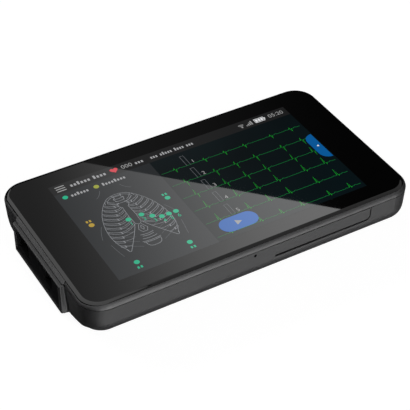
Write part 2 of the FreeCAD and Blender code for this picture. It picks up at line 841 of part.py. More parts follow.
# ---------------------------------------------------------------- every piece, one file each
PIECES = {
    "cover_glass": cover_glass,
    "glass_adhesive": glass_adhesive,
    "display_module": display_module,
    "display_flex": display_flex,
    "front_frame": front_frame,
    "case_seal": case_seal,
    "chassis_plate": chassis_plate,
    "rear_shell": rear_shell,
    "lead_socket_block": lead_socket_block,
    "lead_key_post": lead_key_post,
    "lead_pins_wide": lead_pins_wide,
    "lead_pins_narrow": lead_pins_narrow,
    "lead_board": lead_board,
    "lead_flex": lead_flex,
    "main_board": main_board,
    "board_screws": board_screws,
    "shield_cans": shield_cans,
    "board_chips": board_chips,
    "usb_socket": usb_socket,
    "card_socket": card_socket,
    "microphone": microphone,
    "power_switch": power_switch,
    "battery_pad": battery_pad,
    "battery_pack": battery_pack,
    "speaker": speaker,
    "speaker_ring": speaker_ring,
    "port_cover": port_cover,
    "port_cover_pad": port_cover_pad,
    "port_strap": port_strap,
    "power_button": power_button,
    "case_screws": case_screws,
    "rubber_feet": rubber_feet,
}

os.makedirs("parts", exist_ok=True)
for name, make in PIECES.items():
    shape = make()
    shape.exportStep("parts/" + name + ".step")
    print(name, "solids", len(shape.Solids), "volume", round(shape.Volume, 1), "valid", shape.isValid())
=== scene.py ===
import json
import math

import bmesh
import bpy
from mathutils import Matrix, Vector

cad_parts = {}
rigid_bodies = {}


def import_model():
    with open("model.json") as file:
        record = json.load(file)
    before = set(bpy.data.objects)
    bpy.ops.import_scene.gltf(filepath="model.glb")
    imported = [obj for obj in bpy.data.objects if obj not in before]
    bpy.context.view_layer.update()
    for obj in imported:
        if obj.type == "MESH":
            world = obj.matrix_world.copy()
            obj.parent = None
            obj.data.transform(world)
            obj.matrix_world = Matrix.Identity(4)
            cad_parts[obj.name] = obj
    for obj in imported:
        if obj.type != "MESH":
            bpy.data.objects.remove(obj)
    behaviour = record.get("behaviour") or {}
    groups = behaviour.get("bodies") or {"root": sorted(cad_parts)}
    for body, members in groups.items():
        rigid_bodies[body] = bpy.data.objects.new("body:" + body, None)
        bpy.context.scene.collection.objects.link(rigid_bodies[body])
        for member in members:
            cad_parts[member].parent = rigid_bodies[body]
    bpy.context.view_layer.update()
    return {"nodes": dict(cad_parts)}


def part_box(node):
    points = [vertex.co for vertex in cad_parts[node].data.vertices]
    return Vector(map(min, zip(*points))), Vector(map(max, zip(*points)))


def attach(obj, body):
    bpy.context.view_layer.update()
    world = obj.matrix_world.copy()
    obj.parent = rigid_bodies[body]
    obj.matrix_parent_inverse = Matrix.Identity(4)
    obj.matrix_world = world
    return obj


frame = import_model()
scene = bpy.context.scene
MM = 0.001

# ---- picture and camera, in millimetres
display_length = 120.96
display_width = 68.04
display_centre = (1.45, -0.6)   # middle of the picture, in the part's frame
status_height = 6.4
divider_x = 46.6                # between the body panel and the trace panel
layer = 0.012                   # one printed layer above another
glass_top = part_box("cover_glass")[1].z / MM

# solved from the photograph
camera_place = (-227.10, -397.11, 387.89)
camera_azimuth = -29.826
camera_elevation = 39.643
camera_roll = -0.169
camera_lens = 118.62

# ---- patterns of the materials
noise_range = {"From_Min": 0.3, "From_Max": 0.7}    # what a noise texture gives
sheen_swing = 0.03      # how uneven a plastic's roughness is
line_swing = 0.06       # and a brushed metal's
line_shade = 0.85       # the metal's dark lines
track_shade = 0.8       # tracks under the lacquer of a circuit board
track_edge = 1.9


# ---- helpers
def new_object(name, data):
    thing = bpy.data.objects.new(name, data)
    scene.collection.objects.link(thing)
    return thing


def new_node(beside, kind, **values):
    """A node in the same tree as another. Names of inputs are written with _ for a space."""
    node = beside.id_data.nodes.new(kind)
    for name, value in values.items():
        node.inputs[name.replace("_", " ")].default_value = value
    return node


def link(source, output, target, socket):
    source.id_data.links.new(source.outputs[output], target.inputs[socket])


def new_material(name):
    """A material, its shader, and the node that gives places in the object's own frame."""
    material = bpy.data.materials.new(name)
    material.use_nodes = True
    shader = material.node_tree.nodes["Principled BSDF"]
    return material, shader, new_node(shader, "ShaderNodeTexCoord")


def noise(source, scale, detail=2.0, output="Object"):
    """A noise of scale waves per metre."""
    node = new_node(source, "ShaderNodeTexNoise", Scale=scale, Detail=detail)
    link(source, output, node, "Vector")
    return node


def spread(source, low=0.0, high=1.0):
    """Turn what a noise gives into the range low to high."""
    node = new_node(source, "ShaderNodeMapRange", **noise_range, To_Min=low, To_Max=high)
    link(source, "Fac", node, "Value")
    return node


def tint(source, dark, light):
    """Colours from dark to light as source goes from 0 to 1."""
    ramp = new_node(source, "ShaderNodeValToRGB")
    ramp.color_ramp.elements[0].color = (*dark, 1)
    ramp.color_ramp.elements[1].color = (*light, 1)
    link(source, "Result", ramp, "Fac")
    return ramp


def shades(colour, swing):
    """A colour made a little darker, and a little lighter."""
    return [c * (1 - swing) for c in colour], [c * (1 + swing) for c in colour]


def bump(source, shader, strength, height):
    """Raise a surface by up to height, in millimetres."""
    node = new_node(source, "ShaderNodeBump", Strength=strength, Distance=height * MM)
    link(source, "Fac", node, "Height")
    link(node, "Normal", shader, "Normal")


def crevices(source, shader, reach):
    """Painted shade: darken a colour by ambient occlusion in gaps and corners that are narrower than reach.
    """
    shade = new_node(source, "ShaderNodeAmbientOcclusion", Distance=reach * MM)
    depth = new_node(source, "ShaderNodeMapRange", From_Min=0.4, From_Max=0.75, To_Min=0.04)
    dim = new_node(source, "ShaderNodeMix")
    dim.data_type = "RGBA"
    dim.inputs["A"].default_value = (0, 0, 0, 1)
    link(shade, "AO", depth, "Value")
    link(depth, "Result", dim, "Factor")
    link(source, "Color", dim, "B")
    link(dim, "Result", shader, "Base Color")


def polish(place, shader):
    """The polish of the cover glass, a little duller where it was wiped."""
    wiped = spread(noise(place, scale=55.0, detail=4.0), low=0.008, high=0.016)
    link(wiped, "Result", shader, "Roughness")
    shader.inputs["IOR"].default_value = 1.5


# ---- kinds of material
def moulded_plastic(name, colour, roughness, grain=0.02, grain_scale=2600.0, variation=0.12,
                    specular=0.35, crevice_shade=0.0):
    """Plastic with a fine moulded grain, a little uneven in tone and in sheen; where asked, painted shade
    darkens its gaps and corners.
    """
    material, shader, place = new_material(name)
    patches = spread(noise(place, scale=45.0, detail=3.0))
    colours = tint(patches, *shades(colour, variation))
    # painted shade: the colour is darkened by ambient occlusion in gaps and corners
    if crevice_shade:
        crevices(colours, shader, crevice_shade)
    else:
        link(colours, "Color", shader, "Base Color")
    uneven = noise(place, scale=140.0, detail=4.0)
    sheen = spread(uneven, roughness - sheen_swing, roughness + sheen_swing)
    link(sheen, "Result", shader, "Roughness")
    shader.inputs["Specular IOR Level"].default_value = specular
    bump(noise(place, grain_scale), shader, strength=0.35, height=grain)
    return material


def rubber(name, colour, roughness=0.75):
    return moulded_plastic(name, colour, roughness, grain=0.015, grain_scale=1800.0, variation=0.2,
                           specular=0.25)


def brushed_metal(name, colour, roughness, stretch=(1.0, 30.0, 30.0)):
    """Metal with fine lines drawn along one way."""
    material, shader, place = new_material(name)
    mapping = new_node(place, "ShaderNodeMapping", Scale=stretch)
    link(place, "Object", mapping, "Vector")
    lines = noise(mapping, scale=160.0, detail=3.0, output="Vector")
    dark = [c * line_shade for c in colour]
    link(tint(spread(lines), dark, colour), "Color", shader, "Base Color")
    sheen = spread(lines, roughness - line_swing, roughness + line_swing)
    link(sheen, "Result", shader, "Roughness")
    shader.inputs["Metallic"].default_value = 1.0
    bump(lines, shader, strength=0.2, height=0.01)
    return material


def printed_board(name, colour):
    """Lacquered circuit board with faint straight tracks under the green."""
    material, shader, place = new_material(name)
    between = (*[c * track_shade for c in colour], 1)
    edges = (*[min(1, c * track_edge) for c in colour], 1)
    tracks = new_node(place, "ShaderNodeTexBrick", Scale=260.0, Mortar_Size=0.06,
                      Color1=(*colour, 1), Color2=between, Mortar=edges)
    link(place, "Object", tracks, "Vector")
    link(tracks, "Color", shader, "Base Color")
    sheen = spread(noise(place, scale=90.0), low=0.25, high=0.4)
    link(sheen, "Result", shader, "Roughness")
    return material


def cover_glass_material():
    """Black-backed cover glass: a mirror polish over a black print."""
    material, shader, place = new_material("black_glass")
    haze = spread(noise(place, scale=30.0, detail=3.0))
    black = tint(haze, dark=(0.0007, 0.0007, 0.0008), light=(0.0011, 0.0011, 0.0012))
    link(black, "Color", shader, "Base Color")
    polish(place, shader)
    return material


def screen_material(name, colour, mottle=0.05):
    """A lit area of the picture, seen through the same polished glass."""
    material, shader, place = new_material("screen_" + name)
    backlight = spread(noise(place, scale=25.0, detail=1.0))
    colours = tint(backlight, *shades(colour, mottle))
    link(colours, "Color", shader, "Emission Color")
    shader.inputs["Emission Strength"].default_value = 1.0
    shader.inputs["Base Color"].default_value = (0.0009, 0.0009, 0.001, 1)
    polish(place, shader)
    return material


def linear(value):
    """Linear value of an 8-bit screen tone, by the sRGB rule."""
    share = value / 255
    return share / 12.92 if share <= 0.04045 else ((share + 0.055) / 1.055) ** 2.4


def ink(name, red, green, blue):
    """A screen material given by its 8-bit tones."""
    return screen_material(name, (linear(red), linear(green), linear(blue)))


# ---- materials of the CAD nodes and small parts
# the case plastic carries painted shade in its gaps and corners, within 1 mm
case_plastic = moulded_plastic("case_grain_plastic", (0.032, 0.032, 0.033), 0.45, specular=0.5, crevice_shade=1.0)
key_plastic = moulded_plastic("key_plastic", (0.028, 0.028, 0.029), 0.42, specular=0.5)
hinge_plastic = moulded_plastic("hinge_plastic", (0.032, 0.032, 0.033), 0.45, specular=0.5)
socket_plastic = moulded_plastic("socket_plastic", (0.003, 0.003, 0.0033), 0.5, grain=0.008, specular=0.1)
# near-black, for the gauze and the painted shade in and round the microphone's pinhole
gauze_and_pinhole_shade = moulded_plastic("gauze_and_pinhole_shade", (0.003, 0.003, 0.003), 0.8, specular=0.05)
# near-black, for the painted shadow along the port cover's seam
seam_shadow_black = moulded_plastic("seam_shadow_black", (0.005, 0.005, 0.005), 0.7, grain=0.01, specular=0.1)
seal_rubber = rubber("seal_rubber", (0.012, 0.012, 0.012))
foot_rubber = rubber("foot_rubber", (0.03, 0.03, 0.031))
tape = rubber("bonding_tape", (0.02, 0.02, 0.021), 0.6)
chip_resin = moulded_plastic("chip_resin", (0.02, 0.02, 0.022), 0.55)
ribbon = moulded_plastic("ribbon_film", (0.32, 0.14, 0.03), 0.35, grain=0.004)
panel_back = moulded_plastic("panel_film", (0.03, 0.033, 0.036), 0.25, grain=0.004)
board_green = printed_board("circuit_board", (0.01, 0.13, 0.05))
screw_steel = brushed_metal("screw_steel", (0.42, 0.42, 0.43), 0.36, (30.0, 30.0, 1.0))
shield_steel = brushed_metal("shield_steel", (0.62, 0.62, 0.61), 0.3)
port_steel = brushed_metal("port_steel", (0.2, 0.2, 0.205), 0.34)
chassis_metal = brushed_metal("chassis_metal", (0.6, 0.61, 0.62), 0.42)
battery_foil = brushed_metal("battery_foil", (0.5, 0.5, 0.52), 0.45, (6.0, 6.0, 6.0))
plated_metal = brushed_metal("plated_contacts", (0.75, 0.52, 0.2), 0.25)
black_glass = cover_glass_material()

NODE_MATERIALS = {
    case_plastic: ["front_frame", "rear_shell", "port_cover"],
    key_plastic: ["power_button"],
    socket_plastic: ["lead_socket_block", "lead_key_post"],
    seal_rubber: ["case_seal", "microphone", "port_cover_pad", "port_strap", "speaker_ring"],
    foot_rubber: ["rubber_feet"],
    tape: ["glass_adhesive", "battery_pad"],
    chip_resin: ["board_chips", "power_switch", "speaker"],
    ribbon: ["display_flex", "lead_flex"],
    panel_back: ["display_module"],
    board_green: ["main_board", "lead_board"],
    screw_steel: ["case_screws", "board_screws"],
    shield_steel: ["shield_cans"],
    port_steel: ["usb_socket", "card_socket"],
    chassis_metal: ["chassis_plate"],
    battery_foil: ["battery_pack"],
    plated_metal: ["lead_pins_wide", "lead_pins_narrow"],
    black_glass: ["cover_glass"],
}
for material, names in NODE_MATERIALS.items():
    for name in names:
        mesh = frame["nodes"][name].data
        mesh.materials.clear()
        mesh.materials.append(material)

# ---- materials of the picture
panel_grey = screen_material("panel_grey", (0.0165, 0.0185, 0.0205))
trace_dark = screen_material("trace_dark", (0.0012, 0.0042, 0.0054), mottle=0.25)
status_grey = screen_material("status_grey", (0.0105, 0.0107, 0.011))
ink_white = ink("ink_white", 150, 150, 150)
ink_word = ink("ink_word", 158, 158, 160)
ink_bright = ink("ink_bright", 225, 226, 228)
drawing_grey = ink("drawing_grey", 140, 142, 146)
drawing_dim = ink("drawing_dim", 92, 94, 98)
trace_green = ink("trace_green", 22, 154, 38)
trace_dim = ink("trace_dim", 16, 112, 52)
dot_green = ink("dot_green", 20, 170, 128)
dot_yellow = ink("dot_yellow", 176, 146, 48)
legend_yellow = ink("legend_yellow", 150, 155, 50)
heart_red = ink("heart_red", 206, 62, 74)
button_blue = ink("button_blue", 28, 92, 168)
tab_blue = ink("tab_blue", 6, 84, 146)


# ---- flat shapes, as lists of picture points
def rectangle(x0, y0, x1, y1):
    return [(x0, y0), (x1, y0), (x1, y1), (x0, y1)]


def arc(x, y, radius, start, sweep, steps, rise=None):
    """Points round a centre, from start over sweep in degrees. With a rise they follow an ellipse."""
    rise = rise or radius
    angles = [math.radians(start + sweep * k / steps) for k in range(steps + 1)]
    return [(x + radius * math.cos(a), y + rise * math.sin(a)) for a in angles]


def disc(x, y, radius=1.25, steps=20):
    return arc(x, y, radius, 0, 360, steps)[:-1]


def pill(x0, y0, x1, y1, steps=12):
    """A bar with round ends."""
    radius = (y1 - y0) / 2
    right = arc(x1 - radius, y0 + radius, radius, -90, 180, steps)
    left = arc(x0 + radius, y0 + radius, radius, 90, 180, steps)
    return right + left


def heart(x, y, size, steps=28):
    """The usual heart curve. Its size is 34 of the curve's own units, of which it is 32 wide."""
    unit = size / 34
    points = []
    for k in range(steps):
        a = 2 * math.pi * k / steps
        across = 16 * math.sin(a) ** 3
        up = 13 * math.cos(a) - 5 * math.cos(2 * a) - 2 * math.cos(3 * a) - math.cos(4 * a)
        points.append((x + unit * across, y + unit * up))
    return points


def bend(start, control, end, steps=7):
    """Points along a curve from start to end that leans towards control."""
    points = []
    for k in range(steps + 1):
        t = k / steps
        points.append(tuple((1 - t) ** 2 * a + 2 * t * (1 - t) * b + t * t * c
                            for a, b, c in zip(start, control, end)))
    return points


def strokes(points, width):
    """A line of even width along points, as one quad per run with mitred joints."""
    sharpest = 0.35             # cosine of half the turn at which a mitre stops growing
    longest = width * 1.2
    path = [Vector(p) for p in points]
    sides = []
    for index, point in enumerate(path):
        before = (point - path[index - 1]).normalized() if index else None
        after = (path[index + 1] - point).normalized() if index + 1 < len(path) else None
        along = before + after if before and after else before or after
        along = along.normalized() if along.length > 1e-6 else before
        normal = Vector((-along.y, along.x))
        reach = width / 2
        if before and after:
            across = Vector((-before.y, before.x))
            reach = min(reach / max(normal.dot(across), sharpest), longest)
        sides.append((point + normal * reach, point - normal * reach))
    return [[low, next_low, next_high, high]
            for (high, low), (next_high, next_low) in zip(sides, sides[1:])]


# ---- flat pieces of the picture
BACK, FAINT, LINES, MARKS, ICONS = 1, 2, 3, 4, 5    # layers above the glass
panel_top = display_width - status_height
status_middle = panel_top + status_height / 2
block_share = 0.6       # how much of its place in a word a block fills
low_block = 0.68        # height of most blocks, as a share of the tall ones
word_gap = 0.5          # between words, as a share of their height
figure_share = 0.72     # height of a figure, as a share of the font's size


def on_glass(x, y, level):
    """A point of the picture, x and y from its lower left corner, as a place in the part's frame."""
    return Vector((display_centre[0] - display_length / 2 + x,
                   display_centre[1] - display_width / 2 + y,
                   glass_top + level * layer)) * MM


def add_flat_mesh(name, mesh, material):
    """A flat mesh as a piece of the picture, which rides on the case."""
    mesh.materials.append(material)
    piece = new_object(name, mesh)
    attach(piece, "case")


def add_piece(name, polygons, level, material):
    """One flat piece made of one or more polygons, given as lists of picture points."""
    mesh = bpy.data.meshes.new(name)
    shape = bmesh.new()
    for polygon in polygons:
        face = shape.faces.new([shape.verts.new(on_glass(x, y, level)) for x, y in polygon])
        face.normal_update()
        if face.normal.z < 0:
            face.normal_flip()
    shape.to_mesh(mesh)
    shape.free()
    add_flat_mesh(name, mesh, material)


def add_number(name, text, x, y, height, level, material):
    """Plain figures, x and y at the middle of the text."""
    curve = bpy.data.curves.new(name, "FONT")
    curve.body = text
    curve.size = height / figure_share * MM
    curve.align_x = "CENTER"
    curve.align_y = "CENTER"
    curve.resolution_u = 4
    writing = new_object(name + "_outline", curve)
    bpy.context.view_layer.update()
    mesh = bpy.data.meshes.new_from_object(writing)
    bpy.data.objects.remove(writing)
    mesh.transform(Matrix.Translation(on_glass(x, y, level)))
    mesh.materials.clear()
    add_flat_mesh(name, mesh, material)


def word_blocks(x, y, lengths, size=2.0, pitch=0.72):
    """Rows of small solid blocks that stand where a real screen has words: one block per letter."""
    base = y - size / 2
    blocks = []
    for count in lengths:
        for letter in range(count):
            is_tall = (letter * 3 + count) % 4 == 0
            top = base + (size if is_tall else size * low_block)
            blocks.append(rectangle(x, base, x + size * pitch * block_share, top))
            x += size * pitch
        x += size * word_gap
    return blocks


# ---- status bar and legend
menu_ends = (2.4, 6.8)
menu_pitch = 1.5
menu_half = 0.28                # half the thickness of a bar
STATUS_WORDS = [(9.2, [6, 4], 2.3, 0.72), (41.0, [3], 2.1, 0.7), (48.8, [3, 5, 4, 3], 2.1, 0.6)]
heart_x = 30.6
heart_size = 4.0
pulse_figures_x = 36.9
clock_x = 114.9
status_figure = 2.6             # height of the figures
wireless_x = 96.2
wireless_radii = (0.9, 1.6, 2.3)
wireless_stroke = 0.32
wireless_dot_lift = 0.2
signal_left = 98.5
signal_pitch = 0.95
signal_width = 0.6
signal_heights = (0.6, 1.35, 2.1, 2.85)
icon_foot = status_middle - 1.5  # where the wireless and the signal icon stand
battery_ends = (103.6, 108.4)
battery_half = 1.3
battery_stroke = 0.3
battery_cells = [(104.0, 105.1), (105.4, 106.5), (106.8, 107.9)]
cell_half = 0.85
battery_knob = (108.6, 109.1)
knob_half = 0.5
legend_y = 58.4
LEGEND = [("legend_green", 3.8, dot_green, 6.6, [6]), ("legend_yellow", 18.7, legend_yellow, 21.6, [8])]


def centred_box(ends, half, lift=0):
    """A bar between two ends, at mid height of the status bar or lifted from there."""
    left, right = ends
    return rectangle(left, status_middle + lift - half, right, status_middle + lift + half)


def add_status_bar():
    add_piece("status_bar", [rectangle(0, panel_top, display_length, display_width)], BACK, status_grey)
    menu = [centred_box(menu_ends, menu_half, lift) for lift in (-menu_pitch, 0, menu_pitch)]
    add_piece("menu_icon", menu, LINES, ink_white)
    words = []
    for x, lengths, size, pitch in STATUS_WORDS:
        words += word_blocks(x, status_middle, lengths, size, pitch)
    add_piece("status_words", words, LINES, ink_word)
    add_piece("heart_icon", [heart(heart_x, status_middle, heart_size)], LINES, heart_red)
    add_number("pulse_figures", "000", pulse_figures_x, status_middle, status_figure, LINES, ink_white)
    add_number("clock_figures", "05:20", clock_x, status_middle, status_figure, LINES, ink_white)


def add_state_icons():
    """Wireless, signal and battery icon."""
    wireless = []
    for radius in wireless_radii:
        fan = arc(wireless_x, icon_foot, radius, start=126, sweep=-72, steps=6)
        wireless += strokes(fan, wireless_stroke)
    wireless.append(disc(wireless_x, icon_foot + wireless_dot_lift, radius=0.4, steps=10))
    add_piece("wireless_icon", wireless, LINES, ink_white)
    signal = []
    for k, height in enumerate(signal_heights):
        left = signal_left + signal_pitch * k
        signal.append(rectangle(left, icon_foot, left + signal_width, icon_foot + height))
    add_piece("signal_icon", signal, LINES, ink_white)
    outline = centred_box(battery_ends, battery_half)
    battery = strokes(outline + outline[:1], battery_stroke)
    battery += [centred_box(cell, cell_half) for cell in battery_cells]
    battery.append(centred_box(battery_knob, knob_half))
    add_piece("battery_icon", battery, LINES, ink_bright)


def add_legend():
    words = []
    for name, dot_x, colour, words_x, lengths in LEGEND:
        add_piece(name, [disc(dot_x, legend_y)], LINES, colour)
        words += word_blocks(words_x, legend_y, lengths)
    add_piece("legend_words", words, LINES, ink_word)


# ---- chest drawing, a plain textbook rib cage
# Widths are from the middle of the chest, heights from the bottom of the picture.
chest_x = 23.4
flank_reach = 14.5          # half width at the widest rib
flank_height = 25.0
flank_roundness = 0.66
flank_top = 47.0            # where its outline starts, and how it goes down
flank_step = 1.5
flank_points = 23
crown_height = 51.0
tip_height = 13.0
tip_reach = 11.0
tip_end = 15.0
tip_bulge = 1.0
rib_count = 10
true_ribs = 7               # these reach the breastbone, the others end on the arch
rib_thickness = 1.15
rib_slope = 0.6             # how fast a rib runs down from the flank
rib_lead = 2.5              # its fall is reckoned with the flank this far above its joint
rib_lean = (0.25, 0.42)     # how its curve leans, as shares of its reach and of its fall
cartilage_sag = 0.3
cartilage_share = 0.8       # its thickness, as a share of the rib's
arch_pitch = 0.25           # between the ends of two ribs along the arch
joint_first = (4.0, 42.6)   # where the top rib meets its cartilage
joint_last = (11.6, 17.4)
breast_half = 1.7           # half width of the breastbone
breast_top = 43.2
breast_low = 28.0
breast_pitch = 2.4          # between two ribs along it
inlet_base = 45.0
JOINT_DASH = [(0.25, 0.3), (-0.2, -rib_thickness)]
HIDDEN_RIB = [(1.0, 0.0, 0.9), (0.6, 0.0, 3.5), (0.28, 1.2, 5.5)]       # share of its reach, shift and drop
INLET_EDGES = [(6.9, 4.6), (5.7, 3.7)]                      # reach and rise
UPPER_SPINE = [(2.2, 48.4), (2.2, 46.6), (2.2, 45.0)]       # half width and height
LOWER_SPINE = [(3.0, 20.3), (2.6, 19.2), (3.4, 17.6), (4.3, 16.0), (3.9, 15.3)]
SPINE_SIDE = [(2.2, 49.4), (1.5, 47.4), (2.4, 46.6), (1.7, 44.6)]
COLLAR_LOW = [(1.3, 43.4), (3.4, 43.0), (5.4, 45.2)]
COLLAR_HIGH = [(2.8, 44.4), (4.6, 45.0), (5.8, 47.6)]
BREAST_SIDE = [(1.4, breast_top), (1.5, 41.4), (0.8, 40.0), (1.0, 33.0), (0.8, breast_low)]
BREAST_END = (0.0, 26.8)
BREAST_TIP = [(-0.6, 26.8), (-2.0, 23.8), (-1.1, 21.7), (1.1, 21.7), (2.1, 23.6), (0.6, 26.8)]
BREAST_DROP = [(0.0, 25.9), (-0.7, 24.2), (0.0, 22.9), (0.7, 24.2), (0.0, 25.9)]
SPINE_FOOT = [[(-3.2, 15.0), (-3.0, 11.4), (0.4, 12.0)], [(0.4, 12.0), (3.6, 11.8), (3.7, 15.0)]]
TRUNK = [[(14.9, 33.0), (17.0, 29.6), (18.2, 25.0)], [(16.6, 20.6), (15.9, 16.0), (15.0, 11.6)],
         [(8.4, 50.6), (6.0, 52.0), (4.8, 55.0)]]
thin = 0.17
fine = thin * 1.2
firm = thin * 1.5


def flank(height):
    """Half width of the rib cage at a height: a dome above its widest rib, drawn in a little below."""
    if height > flank_height:
        share = min((height - flank_height) / (crown_height - flank_height), 1.0)
        return flank_reach * (1 - share ** 2) ** flank_roundness
    share = (flank_height - height) / (flank_height - tip_height)
    return flank_reach - (flank_reach - tip_reach) * share ** 2


def arch(share):
    """A point on the lower edge of the rib cage, from the breastbone (0) to the tip of the side (1)."""
    height = breast_low - (breast_low - tip_height) * share ** 0.9
    return (breast_half + (tip_reach - breast_half) * share, height)


def rib(index):
    """One rib: from the flank to its joint, then along the cartilage to the breastbone or the arch."""
    share = index / (rib_count - 1)
    joint = tuple(a + (b - a) * share for a, b in zip(joint_first, joint_last))
    drop = rib_slope * (flank(joint[1] + rib_lead) - joint[0])
    outer = joint[1] + drop
    start = (flank(outer), outer)
    lean = (start[0] - (start[0] - joint[0]) * rib_lean[0], joint[1] + drop * rib_lean[1])
    if index < true_ribs:
        end = (breast_half, breast_top - breast_pitch * index)
    else:
        end = arch(arch_pitch * (index - true_ribs + 1))
    sag = ((joint[0] + end[0]) / 2, min(joint[1], end[1]) - cartilage_sag)
    return bend(start, lean, joint), bend(joint, sag, end, 5)


def rib_behind(bone):
    """The same rib where it runs down behind the lungs."""
    reach, height = bone[0]
    return bend(*[(reach * share + shift, height - drop) for share, shift, drop in HIDDEN_RIB])


def lowered(points, drop):
    return [(x, y - drop) for x, y in points]


def chest_line(points, width=thin, side=1):
    """Strokes along points of the chest, on its right (1) or mirrored to its left (-1)."""
    return strokes([(chest_x + side * x, y) for x, y in points], width)


def rung(half, height, sag, steps):
    """One edge of the spine, hanging a little in the middle."""
    return bend((-half, height), (0, height - sag), (half, height), steps)


def inlet_lines():
    """The round opening at the top of the rib cage with the spine behind it, and the collar joints."""
    lines = []
    for reach, rise in INLET_EDGES:
        lines += chest_line(arc(0, inlet_base, reach, start=0, sweep=180, steps=15, rise=rise))
    for half, height in UPPER_SPINE:
        lines += chest_line(rung(half, height, sag=0.7, steps=4), fine)
    for side in (-1, 1):
        lines += chest_line(SPINE_SIDE, fine, side)
        lines += chest_line(bend(*COLLAR_LOW, 4), firm, side)
        lines += chest_line(bend(*COLLAR_HIGH, 4), thin, side)
    return lines


def middle_lines():
    """Breastbone with its tip, and the lower spine showing under the arch."""
    right = [(breast_half * halves, height) for halves, height in BREAST_SIDE]
    left = [(-x, y) for x, y in right]
    breastbone = left + [BREAST_END] + right[::-1] + [left[0]]
    lines = []
    for outline in (breastbone, BREAST_TIP, BREAST_DROP):
        lines += chest_line(outline, thin * 1.1)
    for half, height in LOWER_SPINE:
        lines += chest_line(rung(half, height, sag=0.9, steps=5), thin * 1.3)
    for foot in SPINE_FOOT:
        lines += chest_line(bend(*foot, 5), fine)
    return lines


def rib_lines(index, side):
    """Both edges of a rib and of its cartilage, with a short dash at the joint."""
    bone, cartilage = rib(index)
    x, y = bone[-1]
    lines = chest_line(bone, thin, side)
    lines += chest_line(lowered(bone, rib_thickness), thin, side)
    lines += chest_line([(x + across, y + up) for across, up in JOINT_DASH], thin * 2, side)
    lines += chest_line(cartilage, thin, side)
    if index < true_ribs:
        lines += chest_line(lowered(cartilage, rib_thickness * cartilage_share), thin, side)
    return lines


def side_lines(side):
    """The outer edge of the cage, its arch, and the tip between them."""
    edge = [(flank(y), y) for y in [flank_top - flank_step * k for k in range(flank_points)]]
    tip = bend((tip_reach, tip_height), (tip_reach + tip_bulge, tip_height), (flank(tip_end), tip_end), 4)
    lines = chest_line(edge, thin, side)
    lines += chest_line([arch(k / 8) for k in range(9)], fine, side)
    return lines + chest_line(tip, fine, side)


def add_chest():
    near_lines = inlet_lines() + middle_lines()
    far_lines = []
    for side in (-1, 1):
        for index in range(rib_count):
            near_lines += rib_lines(index, side)
            far_lines += chest_line(rib_behind(rib(index)[0]), thin, side)
        near_lines += side_lines(side)
        for line in TRUNK:
            far_lines += chest_line(bend(*line), thin, side)
    add_piece("chest_drawing", near_lines, LINES, drawing_grey)
    add_piece("chest_drawing_back", far_lines, FAINT, drawing_dim)


# ---- electrodes
ELECTRODES = [(20.6, 31.7), (26.9, 31.9), (30.5, 28.9), (33.9, 26.6), (37.3, 26.6), (40.7, 26.6)]
LIMBS = [(41.9, 36.2), (36.0, 6.2), (11.2, 6.2)]
OPEN_LIMB = (5.5, 36.2)
leg_height = 20.0           # lower electrodes are on the legs, and have their mark under the dot
mark_offset = 3.0
mark_half = 1.3
figure_drop = 3.1
figure_height = 2.2


def limb_mark(x, y):
    return word_blocks(x - mark_half, y + (mark_offset if y > leg_height else -mark_offset), [2])


def add_electrodes():
    add_piece("electrode_dots", [disc(x, y) for x, y in ELECTRODES + LIMBS], MARKS, dot_green)
    for number, (x, y) in enumerate(ELECTRODES, 1):
        name = "electrode_figure_%d" % number
        add_number(name, str(number), x, y - figure_drop, figure_height, MARKS, dot_green)
    marks = [block for limb in LIMBS for block in limb_mark(*limb)]
    add_piece("limb_marks", marks, MARKS, dot_green)
    add_piece("open_limb_dot", [disc(*OPEN_LIMB)], MARKS, dot_yellow)
    add_piece("open_limb_mark", limb_mark(*OPEN_LIMB), MARKS, dot_yellow)


# ---- heart traces and buttons
first_row = 51.6
row_pitch = 9.76
BEATS = [54.0, 69.0, 79.4, 89.7, 103.9, 114.4]
WAVES = [(1.0, -2.0), (1.8, -3.4), (3.6, -2.6), (4.5, -0.9), (4.4, -0.5), (3.0, -0.4)]    # up and down
trace_start = 47.4
trace_end = 119.6
trace_width = 0.21
beat_width = trace_width * 1.2
step_rows = 5               # rows that start with a calibration step
step_x = 61.1
step_half = 0.9
step_height = 7.2
step_foot = 0.8
row_figure = (3.0, 1.6)     # from the foot of the step to the middle of the row's number
row_figure_height = 2.3
START_BUTTON = (51.2, 2.9, 69.4, 11.7)
START_ARROW = [(59.0, 5.7), (61.9, 7.3), (59.0, 8.9)]
tab_edge = display_length - 0.5
tab_width = 4.7
tab_corner = 4.6
tab_top = 43.7
tab_bottom = 25.1
TAB_ARROW = [(117.9, 34.7), (119.0, 35.4), (119.0, 34.0)]


def beat(middle, base, rise, dip):
    """One heartbeat: the low bump before it, the sharp wave up and down, and the bump after it."""
    before = [(-2.6, 0), (-2.1, 0.3), (-1.6, 0), (-0.5, 0)]
    wave = [(-0.5, 0), (0, rise), (0.35, dip), (0.7, 0)]
    after = [(0.7, 0), (1.9, 0), (2.6, 0.45), (3.3, 0)]
    return [[(middle + x, base + y) for x, y in part] for part in (before, wave, after)]


def add_trace(row, rise, dip):
    """One row's trace: quiet stretches in a dim green, the sharp waves in a bright one."""
    base = first_row - row_pitch * row
    quiet = [(trace_start, base)]
    dim = []
    bright = []
    for middle in BEATS:
        before, wave, after = beat(middle, base, rise, dip)
        dim += strokes(quiet + before, trace_width)
        bright += strokes(wave, beat_width)
        quiet = after
    dim += strokes(quiet + [(trace_end, base)], trace_width)
    add_piece("trace_%d" % (row + 1), dim, LINES, trace_dim)
    add_piece("trace_beats_%d" % (row + 1), bright, LINES, trace_green)


